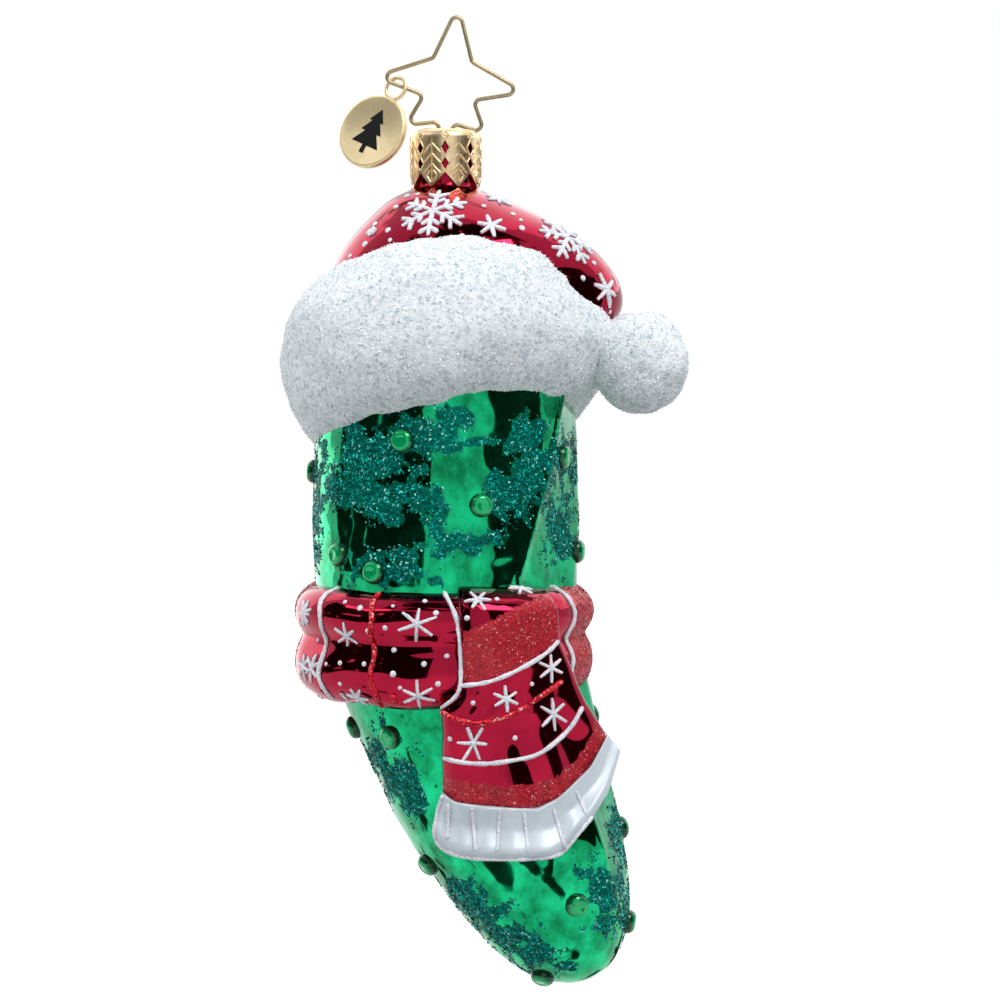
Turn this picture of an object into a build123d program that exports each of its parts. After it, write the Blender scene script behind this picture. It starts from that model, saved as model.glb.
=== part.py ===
"""A blown-glass pickle ornament in a fur-trimmed hat and a scarf, hung from a wire star.

Millimetres and degrees. The origin is the hang point, under the top bend of the wire star.
+X is to the right as the ornament is seen from the front, +Y to the back and +Z up.
"""
import os
from math import atan2, cos, pi, radians, sin

from build123d import *

os.makedirs("parts", exist_ok=True)

# Hanger: one wire bent to a five-pointed star on a flat foot, with two legs for the neck
wire_diameter = 0.7
star_height = 19.4  # from the foot to the corner of the top point
star_notch = (3.5, 11.2)  # inner corners beside the top point, out and up from the foot
star_arm = (11.2, 7.0)  # corners of the side points
star_waist = (4.7, 4.4)  # inner corners under the side points
foot_reach = 5.8
top_bend = 0.9
star_bend = 0.7
leg_bend = 2.5
leg_pitch = 2.8  # between the two legs, where they pass through the cap
leg_spread = 2.0  # from the middle to a leg's lower end
leg_length = 9.0
leg_straight = 3.0
hanger_lean = 6.0  # the star stands a little askew in the cap, to the right
hanger_swing = 12.0  # fore and aft in the cap, each way

# Tag: a cast disc with an eye on its rim, threaded on the left point of the star
tag_diameter = 12.7
tag_thickness = 1.3
tag_rim_width = 0.6
tag_rim_height = 0.2
eye_bore = 2.9
eye_wire = 0.6
eye_joint = 0.25  # how far the eye sinks into the disc's rim
eye_slack = 0.3  # between the star wire and the top of the eye
eye_from_corner = 2.8  # from the corner of the star's point to the eye
tag_turn = 33.0  # the tag's right edge stands towards the front

# Cap: stamped sheet, with pierced slits between leaves
cap_sheet = 0.35
cap_height = 9.6
cap_shoulder = 1.5
cap_clearance = 0.3
leaf_count = 8
leaf_notch_height = 2.3
leaf_tip_width = 0.5
slit_width = 1.3
slit_heights = (2.4, 2.1)  # the upper and the lower almond in each slit
slit_gap = 0.35
leg_hole_clearance = 0.5
foot_clearance = 0.15  # under the lower end of the sloping foot

# Glass: one wall all over, and the neck inside the cap
glass_wall = 1.0
neck_diameter = 10.4
neck_top_gap = 0.6
leaf_tip_gap = 0.2

# Level sections of the hat and the pickle, from top to bottom. A section of the hat gives its depth
# below the shoulder of the neck, and one of the pickle its share of the pickle's length. Both give
# then the middle to the right of the neck, the half width and the half thickness.
hat_sections = (
    (0.7, 0.0, 7.6, 7.2),
    (2.0, 0.5, 10.3, 9.4),
    (4.5, 2.0, 14.3, 12.6),
    (7.0, 3.1, 17.9, 15.2),
    (10.3, 4.0, 21.5, 17.6),
    (15.3, 4.7, 24.5, 20.0),
    (20.3, 4.6, 25.4, 21.2),
    (24.0, 2.8, 23.8, 21.2),
)
pickle_top = 27.0  # depth of its upper end, inside the brim
pickle_length = 104.9
pickle_shape = (
    (0.0, 0.5, 21.5, 20.8),
    (0.038, 0.5, 21.6, 20.9),
    (0.181, 0.3, 22.1, 21.4),
    (0.315, 0.0, 21.9, 21.2),
    (0.429, 0.3, 21.3, 20.7),
    (0.581, 4.3, 20.3, 19.6),
    (0.734, 10.3, 19.0, 18.0),
    (0.868, 15.8, 15.5, 14.6),
    (0.953, 18.8, 10.2, 9.6),
    (0.988, 19.6, 6.0, 5.7),
    (1.0, 19.7, 2.4, 2.3),
)

# Hat brim: a fat fur ring, raised at the front
brim_depth = 27.8
brim_ring_radius = 14.0
brim_inner_radius = 12.0
brim_half_width = 13.7
brim_half_height = 17.0
brim_raise = 16.0
brim_roll = 3.0

# Pompom at the hat's tip, beside the brim
pompom_diameter = 16.2
pompom_place = (32.6, -6.0)  # right of the neck, and to the front
pompom_depth = 29.2

# Scarf: two soft turns round the pickle, each a ring
scarf_shift = -0.3
scarf_dip = 4.0  # the turns hang lower at the front
scarf_ring_radius = 19.5
scarf_inner_radius = 17.0
scarf_depth = 69.6  # the middle of the upper turn
upper_turn_half_width = 5.5
upper_turn_half_height = 4.7
turn_pitch = 8.8  # from the upper turn down to the lower one
lower_turn_half_width = 5.5
lower_turn_half_height = 5.9

# Scarf end: a tail that lies over the turns and wraps to the right, and its fringe. Their outlines
# are seen from the front, right of the pickle's middle at the hem and down from the upper turn.
tail_drop = 30.0  # from the upper turn to the middle of the hem
tail_axis_shift = -8.45
tail_axis_drop = 5.7
tail_axis_slope = 19.5
tail_radii = ((-12.0, 26.6), (0.0, 27.5), (12.0, 25.2), (21.0, 23.4), (30.0, 22.8), (42.0, 22.6))
fringe_radii = ((8.0, 24.2), (20.0, 24.2), (29.0, 23.8), (36.0, 24.2), (44.0, 22.4))
tail_hem = ((-8.9, 29.0), (-1.8, 31.0), (6.3, 31.4), (11.5, 28.4), (17.8, 20.4))
tail_left = ((-8.9, 15.4), (-6.3, 12.9), (-6.3, -3.2))
tail_right = ((7.9, -2.9), (9.7, -0.6), (10.0, 4.8), (14.2, 15.0))
fringe_edge = (
    (20.1, 23.2), (18.2, 29.0), (12.7, 35.7), (9.3, 39.2), (4.9, 39.7), (-1.8, 39.7), (-6.2, 39.3),
    (-9.1, 38.0), (-10.2, 35.7),
)

# Gems: glued cabochons. Each row gives a share of the way down and a bearing, from the front
# towards the right. The upper ones lie from the brim's hem to just above the scarf, the lower ones
# from the scarf's hem to just above the pickle's tip, and the toe ones from the fringe to there.
gem_diameter = 3.9
gem_height = 1.7
gem_rounding = 1.1
glue_line = 0.03
gem_clearance = 0.6  # between the scarf and the gems just above it
toe_gem_rise = 1.2  # from the pickle's tip to the lowest gem's middle
upper_gems = (
    (0.12, -88), (-0.14, -19), (0.41, 16), (0.0, 70), (0.87, 84), (0.86, -53), (0.99, -32),
    (0.27, 122), (0.67, 148), (0.22, 176), (0.95, 185), (0.52, 214), (0.97, 236), (0.92, 130),
)
lower_gems = (
    (0.11, -84), (0.13, -46), (0.08, 104), (0.48, 100), (0.6, -72), (0.14, 140), (0.33, 165),
    (0.18, 208), (0.52, 200), (0.66, 152), (0.41, 236), (0.83, 196),
)
toe_gems = ((0.4, 24), (0.59, 88), (1.0, -38))

# Values that follow from these
lean = radians(hanger_lean)
swing = radians(hanger_swing)
wire_radius = wire_diameter / 2
top_half_angle = atan2(star_notch[0], star_height - star_notch[1])
wire_top = star_height - top_bend * (1 / sin(top_half_angle) - 1)
neck_radius = neck_diameter / 2
cap_radius = neck_radius + cap_clearance + cap_sheet
foot_drop = (cap_radius - cap_shoulder) * sin(lean)
foot_rise = wire_radius + foot_drop + foot_clearance

foot = Vector(-wire_top * sin(lean), 0, wire_radius - wire_top * cos(lean))
hanger_plane = Plane(foot, x_dir=(cos(lean), 0, -sin(lean)), z_dir=(0, -1, 0))
cap_x = foot.X
cap_top = foot.Z - foot_rise
shoulder = cap_top - cap_height - leaf_tip_gap
pickle_sections = [(pickle_top + share * pickle_length, *rest) for share, *rest in pickle_shape]
brim_hem = brim_depth + brim_half_height
scarf_hem = scarf_depth + turn_pitch + lower_turn_half_height
fringe_hem = scarf_depth + max(drop for _, drop in fringe_edge)
toe_depth = pickle_top + pickle_length - toe_gem_rise


def place(right, depth, back=0.0):
    """A point of the glass: right of the neck, below its shoulder and to the back."""
    return Vector(cap_x + right, back, shoulder - depth)


def pickle_middle(depth):
    """How far right the pickle's middle lies at a depth, between the level sections."""
    for (top, top_x, *_), (bottom, bottom_x, *_) in zip(pickle_sections, pickle_sections[1:]):
        if depth <= bottom:
            share = (depth - top) / (bottom - top)
            return top_x + share * (bottom_x - top_x)
    return pickle_sections[-1][1]


def save(piece, name):
    piece.part.label = name
    export_step(piece.part, f"parts/{name}.step")


def glass_form(sections, inset=0.0):
    """A smooth solid through level ellipses, drawn in by the inset."""
    with BuildPart() as form:
        for depth, middle, half_width, half_thickness in sections:
            with BuildSketch(Plane(place(middle, depth))):
                Ellipse(half_width - inset, half_thickness - inset)
        loft()
    return form.part


def ring_form(plane, inner_radius, ovals, wall=None):
    """A ring round the plane's own axis, open inside, with a section joined from ovals.

    Each oval is (radius and height of its middle, half width, half height). With a wall, the
    ring is a hollow shell, and without one it is filled.
    """
    reach = max(abs(height) + half_height for _, height, _, half_height in ovals)
    section = Plane(plane.origin, x_dir=plane.y_dir, z_dir=plane.x_dir)
    with BuildPart() as form:
        with BuildSketch(section):
            for radius, height, half_width, half_height in ovals:
                with Locations((radius, height)):
                    Ellipse(half_width, half_height)
            if wall:
                for radius, height, half_width, half_height in ovals:
                    with Locations((radius, height)):
                        Ellipse(half_width - wall, half_height - wall, mode=Mode.SUBTRACT)
            Rectangle(2 * inner_radius, 2 * reach, mode=Mode.SUBTRACT)
        revolve(axis=Axis(plane.origin, plane.z_dir))
    return form.part


# Hanger wire
half_wire = [
    (leg_spread, -leg_length),
    (leg_pitch / 2, -leg_straight),
    (leg_pitch / 2, 0),
    (foot_reach, 0),
    star_waist,
    star_arm,
    star_notch,
]
wire_points = half_wire + [(0, star_height)] + [(-x, y) for x, y in reversed(half_wire)]
half_bends = [leg_bend] + [star_bend] * (len(half_wire) - 2)
wire_bends = half_bends + [top_bend] + half_bends[::-1]

with BuildPart() as hanger_wire:
    with BuildLine(hanger_plane) as wire_line:
        FilletPolyline(*wire_points, radius=wire_bends)
    wire_path = wire_line.wire()
    with BuildSketch(Plane(wire_path @ 0, z_dir=wire_path % 0)):
        Circle(wire_radius)
    sweep(path=wire_path)
save(hanger_wire, "hanger_wire")

# Hang tag, square to the lower edge of the star's left point
point_edge = Vector(star_arm[0] - star_waist[0], star_waist[1] - star_arm[1]).normalized()
edge_along = hanger_plane.x_dir * point_edge.X + hanger_plane.y_dir * point_edge.Y
tag_down = hanger_plane.x_dir * point_edge.Y - hanger_plane.y_dir * point_edge.X
turn = radians(tag_turn)
tag_right = edge_along * cos(turn) + hanger_plane.z_dir * sin(turn)
tag_front = hanger_plane.z_dir * cos(turn) - edge_along * sin(turn)
thread_point = hanger_plane.from_local_coords(
    Vector(-star_arm[0], star_arm[1]) + point_edge * eye_from_corner
)
eye_middle = thread_point + tag_down * (eye_bore / 2 - wire_radius - eye_slack)
eye_radius = (eye_bore + eye_wire) / 2
tag_reach = tag_diameter / 2 + eye_radius + eye_wire / 2 - eye_joint
tag_plane = Plane(eye_middle + tag_down * tag_reach, x_dir=tag_right, z_dir=tag_front)

with BuildPart(tag_plane) as hang_tag:
    Cylinder(tag_diameter / 2, tag_thickness)
    with Locations((0, 0, tag_thickness / 2)):
        field_radius = tag_diameter / 2 - tag_rim_width
        Cylinder(field_radius, 2 * tag_rim_height, mode=Mode.SUBTRACT)
    with Locations((0, tag_reach, 0)):
        Torus(eye_radius, eye_wire / 2)
save(hang_tag, "hang_tag")

# Cap crown
cap_plane = Plane((cap_x, 0, cap_top))
slit_turns = [radians(360 / leaf_count * number) for number in range(leaf_count)]
slit_planes = [
    Plane(cap_plane.origin, x_dir=(cos(a), sin(a), 0), z_dir=(sin(a), -cos(a), 0)) for a in slit_turns
]
notch_top = cap_height - leaf_notch_height
lower_slit = (notch_top - slit_gap - slit_heights[1], notch_top - slit_gap)
upper_slit = (lower_slit[0] - slit_gap - slit_heights[0], lower_slit[0] - slit_gap)
notch_half = pi * cap_radius / leaf_count - leaf_tip_width / 2
leg_line_shift = -foot_rise * sin(lean)
leg_sway = (foot_rise + cap_sheet) * sin(swing)

with BuildPart(cap_plane) as cap_crown:
    Cylinder(cap_radius, cap_height, align=(Align.CENTER, Align.CENTER, Align.MAX))
    fillet(cap_crown.edges().sort_by(Axis.Z)[-1], cap_shoulder)
    offset(amount=-cap_sheet, openings=cap_crown.faces().sort_by(Axis.Z)[0])
    with BuildSketch(*slit_planes):
        for top, bottom in (upper_slit, lower_slit):
            with BuildLine():
                ThreePointArc((0, -top), (slit_width / 2, -(top + bottom) / 2), (0, -bottom))
                ThreePointArc((0, -bottom), (-slit_width / 2, -(top + bottom) / 2), (0, -top))
            make_face()
        with BuildLine():
            Polyline((0, -notch_top), (notch_half, -cap_height), (-notch_half, -cap_height), close=True)
        make_face()
    extrude(amount=cap_radius + cap_sheet, mode=Mode.SUBTRACT)
    with Locations(*[(side * leg_pitch / 2 * cos(lean) + leg_line_shift, 0) for side in (-1, 1)]):
        Hole(wire_radius + leg_sway + leg_hole_clearance / 2, depth=2 * cap_sheet)
save(cap_crown, "cap_crown")

# Glass forms, filled, for cutting their neighbours to fit
seam_section = pickle_sections[0]
neck_section = (0.0, 0.0, neck_radius, neck_radius)
hat_form = glass_form((neck_section, *hat_sections, seam_section))
pickle_form = glass_form(pickle_sections)
with BuildPart() as body_form:
    add(hat_form)
    add(pickle_form)

raise_angle = radians(brim_raise)
roll_angle = radians(brim_roll)
brim_up = (-sin(roll_angle), sin(raise_angle), cos(raise_angle))
brim_plane = Plane(place(0, brim_depth), x_dir=(cos(roll_angle), 0, sin(roll_angle)), z_dir=brim_up)
brim_ovals = [(brim_ring_radius, 0, brim_half_width, brim_half_height)]
brim_form = ring_form(brim_plane, brim_inner_radius, brim_ovals)

dip = radians(scarf_dip)
scarf_plane = Plane(place(scarf_shift, scarf_depth), x_dir=(1, 0, 0), z_dir=(0, -sin(dip), cos(dip)))
scarf_ovals = [
    (scarf_ring_radius, 0, upper_turn_half_width, upper_turn_half_height),
    (scarf_ring_radius, -turn_pitch, lower_turn_half_width, lower_turn_half_height),
]
wrap_form = ring_form(scarf_plane, scarf_inner_radius, scarf_ovals)

# Hat glass with its open neck
bore_top = cap_top - cap_sheet - neck_top_gap
with BuildPart() as hat_glass:
    add(hat_form)
    with Locations(Plane((cap_x, 0, bore_top))):
        Cylinder(neck_radius, bore_top - shoulder, align=(Align.CENTER, Align.CENTER, Align.MAX))
    hat_hollow = [(depth + glass_wall, *rest) for depth, *rest in hat_sections]
    bore_section = (glass_wall, 0.0, neck_radius, neck_radius)
    add(glass_form((bore_section, *hat_hollow, seam_section), glass_wall), mode=Mode.SUBTRACT)
    with Locations(Plane((cap_x, 0, bore_top))):
        bore_length = bore_top - shoulder + glass_wall
        bore_radius = neck_radius - glass_wall
        Cylinder(
            bore_radius, bore_length, align=(Align.CENTER, Align.CENTER, Align.MAX), mode=Mode.SUBTRACT
        )
save(hat_glass, "hat_glass")

# Pickle glass, open at the top under the hat
with BuildPart() as pickle_glass:
    add(pickle_form)
    add(glass_form(pickle_sections[:-1], glass_wall), mode=Mode.SUBTRACT)
save(pickle_glass, "pickle_glass")

# Hat brim, hollow behind its fur
with BuildPart() as hat_brim:
    add(ring_form(brim_plane, brim_inner_radius, brim_ovals, glass_wall))
    add(body_form.part, mode=Mode.SUBTRACT)
save(hat_brim, "hat_brim")

# Pompom
pompom_middle = place(pompom_place[0], pompom_depth, pompom_place[1])
with BuildPart() as hat_pompom:
    with Locations(pompom_middle):
        Sphere(pompom_diameter / 2)
        Sphere(pompom_diameter / 2 - glass_wall, mode=Mode.SUBTRACT)
    add(brim_form, mode=Mode.SUBTRACT)
    add(hat_form, mode=Mode.SUBTRACT)
save(hat_pompom, "hat_pompom")

# Scarf wrap
with BuildPart() as scarf_wrap:
    add(ring_form(scarf_plane, scarf_inner_radius, scarf_ovals, glass_wall))
    add(pickle_form, mode=Mode.SUBTRACT)
save(scarf_wrap, "scarf_wrap")

# Scarf tail and fringe: front outlines, cut out of round forms about a sloping axis
hem_middle = pickle_middle(scarf_depth + tail_drop)
front_plane = Plane(place(hem_middle, scarf_depth), x_dir=(1, 0, 0), z_dir=(0, -1, 0))
slope = radians(tail_axis_slope)
tail_axis_middle = place(hem_middle + tail_axis_shift, scarf_depth + tail_axis_drop)
tail_axis_plane = Plane(tail_axis_middle, x_dir=(0, -1, 0), z_dir=(sin(slope), 0, -cos(slope)))


def round_form(radii):
    """A solid of revolution about the tail's axis, from (distance down the axis, radius)."""
    section = Plane(tail_axis_plane.origin, x_dir=tail_axis_plane.x_dir, z_dir=-tail_axis_plane.y_dir)
    with BuildPart() as form:
        with BuildSketch(section):
            with BuildLine():
                edge = Spline(*[(radius, along) for along, radius in radii])
                Polyline(edge @ 1, (0, radii[-1][0]), (0, radii[0][0]), edge @ 0)
            make_face()
        revolve(axis=Axis(tail_axis_plane.origin, tail_axis_plane.z_dir))
    return form.part


def front_points(points):
    return [(right, -drop) for right, drop in points]


tail_depth = max(radius for _, radius in tail_radii)
with BuildPart() as scarf_tail:
    with BuildSketch(front_plane):
        with BuildLine():
            hem = Spline(*front_points(tail_hem))
            Polyline(hem @ 1, *front_points(tail_right[::-1]), *front_points(tail_left[::-1]), hem @ 0)
        make_face()
    extrude(amount=2 * tail_depth)
    add(round_form(tail_radii), mode=Mode.INTERSECT)
    add(pickle_form, mode=Mode.SUBTRACT)
    add(wrap_form, mode=Mode.SUBTRACT)
save(scarf_tail, "scarf_tail")

with BuildPart() as scarf_fringe:
    with BuildSketch(front_plane):
        with BuildLine():
            hem = Spline(*front_points(tail_hem))
            Polyline(hem @ 1, *front_points(fringe_edge), hem @ 0)
        make_face()
    extrude(amount=2 * tail_depth)
    add(round_form(fringe_radii), mode=Mode.INTERSECT)
    add(pickle_form, mode=Mode.SUBTRACT)
    add(wrap_form, mode=Mode.SUBTRACT)
save(scarf_fringe, "scarf_fringe")

# Wart gems, each flat on the pickle where a level line from its middle comes out
pickle_skin = pickle_form.faces().sort_by(SortBy.AREA)[-1]


def above_scarf(bearing):
    """The greatest depth of a gem above the scarf, which hangs lower at the front."""
    scarf_top = scarf_depth - upper_turn_half_height + scarf_ring_radius * sin(dip) * cos(radians(bearing))
    return scarf_top - gem_clearance - gem_diameter / 2


gem_places = [(brim_hem + share * (above_scarf(turn) - brim_hem), turn) for share, turn in upper_gems]
gem_places += [(scarf_hem + share * (toe_depth - scarf_hem), turn) for share, turn in lower_gems]
gem_places += [(fringe_hem + share * (toe_depth - fringe_hem), turn) for share, turn in toe_gems]
for number, (depth, bearing) in enumerate(gem_places, start=1):
    outward = Vector(sin(radians(bearing)), -cos(radians(bearing)), 0)
    middle = place(pickle_middle(depth), depth)
    crossings = pickle_skin.find_intersection_points(Axis(middle, outward))
    spot, normal = max(crossings, key=lambda crossing: (crossing[0] - middle).dot(outward))
    if normal.dot(outward) < 0:
        normal = -normal
    with BuildPart() as wart_gem:
        with BuildSketch(Plane(spot + normal * glue_line, z_dir=normal)):
            Circle(gem_diameter / 2)
        extrude(amount=gem_height)
        rim = wart_gem.faces().sort_by(Axis(spot, normal))[-1].edges()
        fillet(rim, gem_rounding)
    save(wart_gem, f"wart_gem_{number:02d}")
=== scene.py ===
import math
import random

import bmesh
import bpy
from mathutils import Matrix, Vector, noise
from mathutils.bvhtree import BVHTree


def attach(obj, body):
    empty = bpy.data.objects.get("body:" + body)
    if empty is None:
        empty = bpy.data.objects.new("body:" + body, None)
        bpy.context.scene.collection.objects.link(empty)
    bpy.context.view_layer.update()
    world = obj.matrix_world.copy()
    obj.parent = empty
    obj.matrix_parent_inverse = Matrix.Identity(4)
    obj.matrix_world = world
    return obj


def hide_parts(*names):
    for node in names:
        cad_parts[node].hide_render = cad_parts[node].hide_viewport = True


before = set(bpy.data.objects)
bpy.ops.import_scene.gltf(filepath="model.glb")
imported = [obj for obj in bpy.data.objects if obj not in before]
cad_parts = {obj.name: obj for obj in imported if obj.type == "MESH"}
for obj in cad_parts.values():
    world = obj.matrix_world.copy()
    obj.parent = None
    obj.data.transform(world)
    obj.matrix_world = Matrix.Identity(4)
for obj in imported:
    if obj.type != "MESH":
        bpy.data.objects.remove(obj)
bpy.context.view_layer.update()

scene = bpy.context.scene
random.seed(24)

# Pickle: the body of the ornament, a bubble of clear glass blown into a mould, silvered inside
# and dipped in clear green lacquer. The mould left one long facet down its right front. Patches
# of teal glitter are brushed on over the lacquer. All lengths here and below are in mm.
neck_x = -1.88
shoulder_z = -28.31
viewpoint = Vector((7.17, -555.6, -80.0))
# The front view: the pixel at which the origin shows, and the scale there.
hang_pixel = (457, 20)
pixels_per_mm = 6
pickle_sections = (
    (27.0, 0.5, 21.5, 20.8),
    (31.0, 0.5, 21.6, 20.9),
    (38.0, 0.4, 22.0, 21.2),
    (46.0, 0.3, 22.3, 21.5),
    (60.0, 0.0, 22.1, 21.4),
    (72.0, 0.3, 21.5, 20.9),
    (88.0, 4.3, 20.5, 19.8),
    (104.0, 10.3, 19.2, 18.2),
    (118.0, 15.8, 15.8, 14.9),
    (127.0, 18.8, 10.6, 10.0),
    (130.8, 19.6, 6.2, 5.9),
    (132.2, 19.7, 2.4, 2.3),
)
facet_crease = ((27.0, 66.0), (36.0, 60.0), (65.0, 33.0), (84.0, 38.0), (104.0, 48.0), (122.0, 54.0))
facet_width = 44.0
# The facet fades out towards its lower end. Its crease stands up by a share of the radius.
facet_end = 122.0
facet_fade = 16.0
crease_height = 0.016
crease_spread = 2.6
# Ovals in pixels of the front view: middle across and down, half width and half height.
glitter_patches = (
    (375, 455, 50, 26), (350, 492, 28, 22), (420, 440, 40, 20), (455, 418, 22, 10), (400, 500, 45, 18),
    (436, 515, 12, 36), (462, 543, 40, 11), (385, 569, 38, 16), (317, 520, 6, 45), (527, 440, 22, 24),
    (525, 485, 24, 32), (497, 497, 14, 20), (563, 462, 18, 24), (560, 525, 18, 32), (484, 441, 20, 6),
    (434, 581, 8, 6), (378, 752, 13, 26), (400, 780, 16, 24), (416, 800, 12, 16), (462, 890, 20, 16),
    (484, 912, 22, 18), (510, 935, 24, 14), (535, 955, 22, 12), (565, 967, 14, 6), (617, 830, 9, 46),
    (610, 890, 24, 30), (628, 905, 10, 36), (600, 925, 14, 12),
)
# How deep the lace cuts into a patch, how far the patch spreads, and how soft its edge is.
lace_share = 0.85
lace_spread = 0.27
lace_edge = 0.7


def at(right, depth, back=0.0):
    """A point right of the neck, below its shoulder and to the back."""
    return Vector((neck_x + right, back, shoulder_z - depth))


def clamped(value):
    """A value kept between 0 and 1."""
    return min(max(value, 0.0), 1.0)


def bell(value, middle, spread):
    """A soft hump over a value, 1 at its middle."""
    return math.exp(-((value - middle) / spread) ** 2)


def between(rows, value):
    """The row's other values at a first value, along straight runs between the rows."""
    for low, high in zip(rows, rows[1:]):
        if value <= high[0]:
            break
    share = clamped((value - low[0]) / (high[0] - low[0]))
    return [a + share * (b - a) for a, b in zip(low[1:], high[1:])]


def verts_of(geometry):
    """The vertices in a mixed list."""
    return [item for item in geometry if isinstance(item, bmesh.types.BMVert)]


def ringed_form(sections, segments):
    """An open form through level ellipses: depth, middle, half width and half thickness."""
    form = bmesh.new()
    ring = bmesh.ops.create_circle(form, segments=segments, radius=1.0)["verts"]
    before = Matrix.Identity(4)
    for number, (depth, middle, half_width, half_thickness) in enumerate(sections):
        if number:
            rim = [edge for edge in form.edges if edge.verts[0] in ring and edge.verts[1] in ring]
            ring = verts_of(bmesh.ops.extrude_edge_only(form, edges=rim)["geom"])
        after = Matrix.Translation(at(middle, depth)) @ Matrix.Diagonal((half_width, half_thickness, 1, 1))
        bmesh.ops.transform(form, matrix=after @ before.inverted(), verts=ring)
        before = after
    return form


def shape_of(form, name):
    """A new object with the form for its mesh."""
    mesh = bpy.data.meshes.new(name)
    form.to_mesh(mesh)
    form.free()
    return bpy.data.objects.new(name, mesh)


def ordered(form):
    """Sorts the faces, which come in no set order, so that grains fall on them alike in each run."""
    heading = Vector((1.0, 0.618, 7.39))
    form.faces.sort(key=lambda face: face.calc_center_median().dot(heading))


def smoothed(form, levels):
    """The form after subdivision."""
    ordered(form)
    shape = shape_of(form, "smoothing")
    mesh = shape.data
    scene.collection.objects.link(shape)
    subdivision = shape.modifiers.new("Subdivision", "SUBSURF")
    subdivision.levels = subdivision.render_levels = levels
    result = bmesh.new()
    result.from_object(shape, bpy.context.evaluated_depsgraph_get())
    bpy.data.objects.remove(shape)
    bpy.data.meshes.remove(mesh)
    bmesh.ops.recalc_face_normals(result, faces=result.faces)
    result.normal_update()
    return result


def swell(form, height, width, seed):
    """Moves the surface in and out in soft swells of that height and width."""
    form.normal_update()
    shift = Vector((seed * 17.3, seed * 5.1, seed * 9.7))
    moves = [vert.normal * height * noise.noise(vert.co / width + shift) for vert in form.verts]
    for vert, move in zip(form.verts, moves):
        vert.co += move


def seen(across, down, skin):
    """Where a skin shows at a pixel of the front view."""
    target = Vector((across - hang_pixel[0], 0, hang_pixel[1] - down)) / pixels_per_mm
    spot, direction, _, _ = skin.ray_cast(viewpoint, (target - viewpoint).normalized())
    return spot, direction


def pixel(point):
    """The pixel of the front view at which a point is seen."""
    reach = viewpoint.y / (viewpoint.y - point.y)
    flat = viewpoint + (point - viewpoint) * reach
    return Vector((hang_pixel[0] + pixels_per_mm * flat.x, hang_pixel[1] - pixels_per_mm * flat.z))


def linear(code):
    """An sRGB hex value as a linear colour."""
    parts = [int(code[start:start + 2], 16) / 255 for start in (1, 3, 5)]
    return [p / 12.92 if p <= 0.04045 else ((p + 0.055) / 1.055) ** 2.4 for p in parts] + [1.0]


def fill(tree, node, inputs):
    """Puts values or links on a node's inputs."""
    for socket, value in inputs.items():
        if isinstance(value, bpy.types.NodeSocket):
            tree.links.new(value, node.inputs[socket])
        else:
            node.inputs[socket].default_value = value


def add(tree, kind, inputs=None, **settings):
    """A new node with its settings, and with values or links on its inputs."""
    made = tree.nodes.new(kind)
    for name, value in settings.items():
        setattr(made, name, value)
    fill(tree, made, inputs or {})
    return made


def new_material(name):
    """A material, its node tree, its shader and the object coordinates in metres."""
    material = bpy.data.materials.new(name)
    material.use_nodes = True
    tree = material.node_tree
    coordinates = add(tree, "ShaderNodeTexCoord").outputs["Object"]
    return material, tree, tree.nodes["Principled BSDF"], coordinates


def clouded(tree, place, width, dark, light, detail, roughness=0.5, edges=(0.0, 1.0)):
    """Soft patches of that width in mm from a dark to a light colour, and how light each is."""
    patch = add(tree, "ShaderNodeTexNoise", {
        "Vector": place, "Scale": 1000.0 / width, "Detail": detail, "Roughness": roughness,
    }).outputs["Fac"]
    share = add(tree, "ShaderNodeMapRange", {"Value": patch, "From Min": edges[0], "From Max": edges[1]})
    colour = add(tree, "ShaderNodeMix", {
        "Factor": share.outputs["Result"], 6: linear(dark), 7: linear(light),
    }, data_type="RGBA")
    return colour.outputs[2], patch


def lacquered_glass(name, flow, dullest, glue_colour, glue_cover, glue_dullness, **patches):
    """A cloudy tinted mirror under clear lacquer, stretched down by its flow, with glue under the glitter."""
    material, tree, shader, place = new_material(name)
    run = add(tree, "ShaderNodeMapping", {"Vector": place, "Scale": (1.0, 1.0, flow)}).outputs["Vector"]
    tint, patch = clouded(tree, run, **patches)
    strewn = add(tree, "ShaderNodeAttribute", attribute_name="glitter").outputs["Fac"]
    glue = add(tree, "ShaderNodeMapRange", {
        "Value": strewn, "From Min": 0.35, "From Max": 0.65, "To Max": glue_cover,
    }).outputs["Result"]
    colour = add(tree, "ShaderNodeMix", {
        "Factor": glue, 6: tint, 7: linear(glue_colour),
    }, data_type="RGBA")
    polish = add(tree, "ShaderNodeMapRange", {
        "Value": patch, "From Min": 0.35, "From Max": 0.75, "To Min": 0.03, "To Max": dullest,
    })
    gloss = add(tree, "ShaderNodeMix", {"Factor": glue, 2: polish.outputs["Result"], 3: glue_dullness})
    mirror = add(tree, "ShaderNodeMapRange", {"Value": glue, "To Min": 1.0, "To Max": 0.25})
    fill(tree, shader, {
        "Base Color": colour.outputs[2], "Roughness": gloss.outputs[0], "Metallic": mirror.outputs["Result"],
        "Coat Weight": 0.15, "Coat Roughness": 0.04,
    })
    return material, tree, shader, glue


def placed(form, name, material):
    """A new object in the scene with the form, already in metres, for its mesh."""
    piece = shape_of(form, name)
    piece.data.materials.append(material)
    scene.collection.objects.link(piece)
    return piece


def finish_piece(form, name, material, slot, *nodes, body="glass"):
    """Makes the form an object in metres that rides on a body and stands for CAD nodes."""
    bmesh.ops.recalc_face_normals(form, faces=form.faces)
    bmesh.ops.scale(form, vec=(0.001, 0.001, 0.001), verts=form.verts)
    piece = placed(form, name, material)
    piece.data.shade_smooth()
    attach(piece, body)
    if nodes:
        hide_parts(*nodes)
    return piece


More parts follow.
